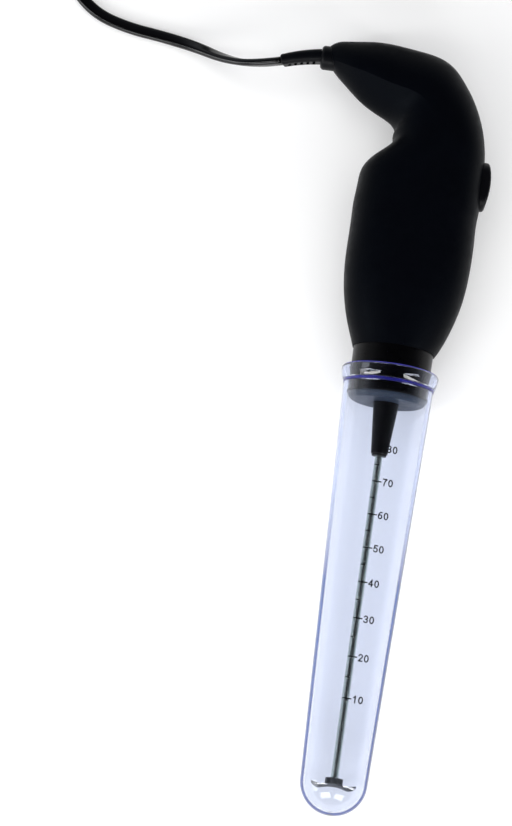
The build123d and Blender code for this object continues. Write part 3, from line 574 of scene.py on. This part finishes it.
# ------------------------------------------------------------------ blue lines of the collar: a painted reflection at its foot, a blue line round the rim
BAND_STEPS, BAND_ROUGHNESS = 144, 0.25
BAND_GRAIN_SCALE, BAND_GRAIN = 700.0, 0.01 * MM
BAND_LOW_Y, BAND_HIGH_Y = SHOULDER_Y - 1.35 * MM, SHOULDER_Y + 0.1 * MM
BAND_R, BAND_DEPTH, BAND_BULGE, BAND_BEVEL = 18.46 * MM, 0.06 * MM, 0.05 * MM, 0.1 * MM
RIM_BEAD_R, RIM_BEAD_THICK, RIM_BEAD_SIDES = 19.12 * MM, 0.22 * MM, 8
# Blue of the painted reflection at the collar's foot, and how much light it lets through; then the rim
# line's.
SHOULDER_REFLECTION_BLUE, SHOULDER_REFLECTION_THROUGH = (0.08, 0.08, 0.8), 0.97
RIM_BLUE, RIM_THROUGH = (0.10, 0.10, 0.6), 0.5


def ring_band(name, profile):
    """A closed ring about the tube's axis, swept from a profile of (radius, height along the tube)."""
    maker = bmesh.new()
    rings = []
    for k in range(BAND_STEPS):
        angle = 2 * math.pi * k / BAND_STEPS
        rings.append([maker.verts.new((radius * math.sin(angle), y, AXIS_Z + radius * math.cos(angle)))
                      for radius, y in profile])
    count = len(profile)
    for k, ring in enumerate(rings):
        following = rings[(k + 1) % BAND_STEPS]
        for n in range(count):
            after = (n + 1) % count
            maker.faces.new((ring[n], ring[after], following[after], following[n]))
    bmesh.ops.recalc_face_normals(maker, faces=maker.faces)
    mesh = bpy.data.meshes.new(name)
    maker.to_mesh(mesh)
    maker.free()
    mesh.shade_smooth()
    return link(name, mesh)


def shoulder_profile():
    """Outline of the painted reflection at the foot of the collar: flat inside and a little bulged outside.
    """
    return ((BAND_R - BAND_DEPTH, BAND_LOW_Y), (BAND_R, BAND_LOW_Y + BAND_BEVEL),
            (BAND_R + BAND_BULGE, BAND_HIGH_Y - BAND_BEVEL), (BAND_R, BAND_HIGH_Y))


def rim_profile():
    """Outline of the line round the rim: a small bead."""
    turns = [2 * math.pi * k / RIM_BEAD_SIDES for k in range(RIM_BEAD_SIDES)]
    return [(RIM_BEAD_R + RIM_BEAD_THICK * math.cos(turn), RIM_Y + RIM_BEAD_THICK * math.sin(turn))
            for turn in turns]


def collar_blue_finish(name, colour, through):
    """Blue translucent finish of the collar's two blue rings; on the ring at the collar's foot it is a
    painted reflection.
    """
    mat, shader, tree = material(name)
    shader.inputs["Base Color"].default_value = (*colour, 1)
    shader.inputs["Roughness"].default_value = BAND_ROUGHNESS
    shader.inputs["Transmission Weight"].default_value = through
    tree.links.new(bump(tree, noise(tree, BAND_GRAIN_SCALE), BAND_GRAIN), shader.inputs["Normal"])
    return mat


# The ring at the collar's foot is a painted reflection: blue put where light bends inside the flare of the
# collar.
for ring, colour, through in (
    (ring_band("tube_shoulder_painted_reflection", shoulder_profile()), SHOULDER_REFLECTION_BLUE, SHOULDER_REFLECTION_THROUGH),
    (ring_band("tube_rim_line", rim_profile()), RIM_BLUE, RIM_THROUGH),
):
    ring.data.materials.append(collar_blue_finish(ring.name, colour, through))
    ring.visible_shadow = False
    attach(ring, "tube")

# ------------------------------------------------------------------ graduations
# Marks are 5 ml apart, from 10 ml (index 1) to 80 ml (index 15). Odd ones are long and have a number.
MARK_X, MARK_LIFT = -1.75 * MM, 0.04 * MM
LONG_TICK, SHORT_TICK, TICK_THICK, TICK_STEPS = 3.8 * MM, 1.9 * MM, 0.52 * MM, 8
DIGIT_X, DIGIT_HEIGHT, DIGIT_STEP, STROKE_THICK = 2.6 * MM, 2.7 * MM, 2.35 * MM, 0.5 * MM
MARK_TEN_Y, FIRST_STEP, STEP_LOSS, STEP_EASE = -193.6 * MM, 8.57 * MM, 0.179 * MM, 0.0055 * MM
MARK_COUNT = 15
ABOVE_TUBE_Z = AXIS_Z + 40 * MM
ARC_STEP = 15  # degrees of a digit's arc from point to point


def mark_place(index):
    """Place of a mark along the tube; the marks draw together as the tube widens."""
    steps = index - 1
    return MARK_TEN_Y + FIRST_STEP * steps - STEP_LOSS * steps**2 + STEP_EASE * steps**3


def onto_tube(mesh):
    """Lays flat marks onto the tube's outside, just proud of it."""
    tube = frame["nodes"]["measuring_tube"]
    for vertex in mesh.vertices:
        start = Vector((vertex.co.x, vertex.co.y, ABOVE_TUBE_Z))
        found, place, normal, _ = tube.ray_cast(start, Vector((0, 0, -1)))
        if found:
            vertex.co = place + normal * MARK_LIFT


def make_ticks():
    """The short and long lines of the scale, except the top one, which wouldn't show against the cone."""
    maker = bmesh.new()
    for index in range(1, MARK_COUNT):
        y = mark_place(index)
        reach = LONG_TICK if index % 2 else SHORT_TICK
        xs = [MARK_X + reach * k / TICK_STEPS for k in range(TICK_STEPS + 1)]
        low, high = ([maker.verts.new((x, y + side * TICK_THICK / 2, 0)) for x in xs] for side in (-1, 1))
        for k in range(TICK_STEPS):
            maker.faces.new((low[k], low[k + 1], high[k + 1], high[k]))
    mesh = bpy.data.meshes.new("scale_ticks")
    maker.to_mesh(mesh)
    maker.free()
    onto_tube(mesh)
    return link("scale_ticks", mesh)


def arc(x, y, wide, high, start, end):
    """Points of an elliptic arc, in the unit cell of a digit."""
    steps = max(4, round(abs(end - start) / ARC_STEP))
    turns = [math.radians(start + (end - start) * k / steps) for k in range(steps + 1)]
    return [(x + wide * math.cos(turn), y + high * math.sin(turn)) for turn in turns]


# The strokes of each digit, in a cell 1 high and about 0.6 wide.
DIGIT_LINES = {
    "0": [arc(0.29, 0.5, 0.26, 0.47, 0, 360)],
    "1": [[(0.12, 0.76), (0.25, 0.84), (0.34, 0.97)], [(0.34, 0.97), (0.34, 0.03)]],
    "2": [arc(0.29, 0.71, 0.25, 0.26, 165, -38) + [(0.06, 0.05)], [(0.04, 0.03), (0.56, 0.03)]],
    "3": [arc(0.27, 0.74, 0.23, 0.23, 155, -90), arc(0.27, 0.27, 0.27, 0.24, 90, -155)],
    "4": [[(0.42, 0.03), (0.42, 0.97)], [(0.42, 0.97), (0.03, 0.31)], [(0.03, 0.31), (0.58, 0.31)]],
    "5": [[(0.51, 0.97), (0.15, 0.97)], [(0.15, 0.97), (0.08, 0.5)], arc(0.28, 0.33, 0.26, 0.30, 140, -150)],
    "6": [arc(0.3, 0.31, 0.24, 0.28, 0, 360), arc(0.4, 0.42, 0.34, 0.55, 190, 72)],
    "7": [[(0.04, 0.97), (0.56, 0.97)], arc(0.86, 0.03, 0.64, 1.02, 118, 180)],
    "8": [arc(0.29, 0.74, 0.21, 0.23, 0, 360), arc(0.29, 0.27, 0.26, 0.24, 0, 360)],
}


def draw_stroke(maker, points):
    """A flat ribbon along points."""
    spots = [Vector(point) for point in points]
    last = len(spots) - 1
    sides = []
    for k, spot in enumerate(spots):
        ahead = (spots[min(k + 1, last)] - spots[max(k - 1, 0)]).normalized() * STROKE_THICK / 2
        end = ahead * ((k == last) - (k == 0))
        across = Vector((-ahead.y, ahead.x))
        sides.append([maker.verts.new((*(spot + end + across * side), 0)) for side in (1, -1)])
    for (left, right), (next_left, next_right) in zip(sides, sides[1:]):
        maker.faces.new((left, right, next_right, next_left))


def make_digits():
    """The numbers of the scale, drawn with thin strokes."""
    made = []
    for index in range(1, MARK_COUNT + 1, 2):
        number = str(5 * (index + 1))
        maker = bmesh.new()
        for place, digit in enumerate(number):
            corner = Vector((DIGIT_X + place * DIGIT_STEP, mark_place(index) - DIGIT_HEIGHT / 2))
            for line in DIGIT_LINES[digit]:
                draw_stroke(maker, [corner + DIGIT_HEIGHT * Vector(point) for point in line])
        mesh = bpy.data.meshes.new(f"scale_number_{number}")
        maker.to_mesh(mesh)
        maker.free()
        onto_tube(mesh)
        made.append(link(mesh.name, mesh))
    return made


for mark in (make_ticks(), *make_digits()):
    mark.data.materials.append(FINISHES["scale_ink"])
    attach(mark, "tube")
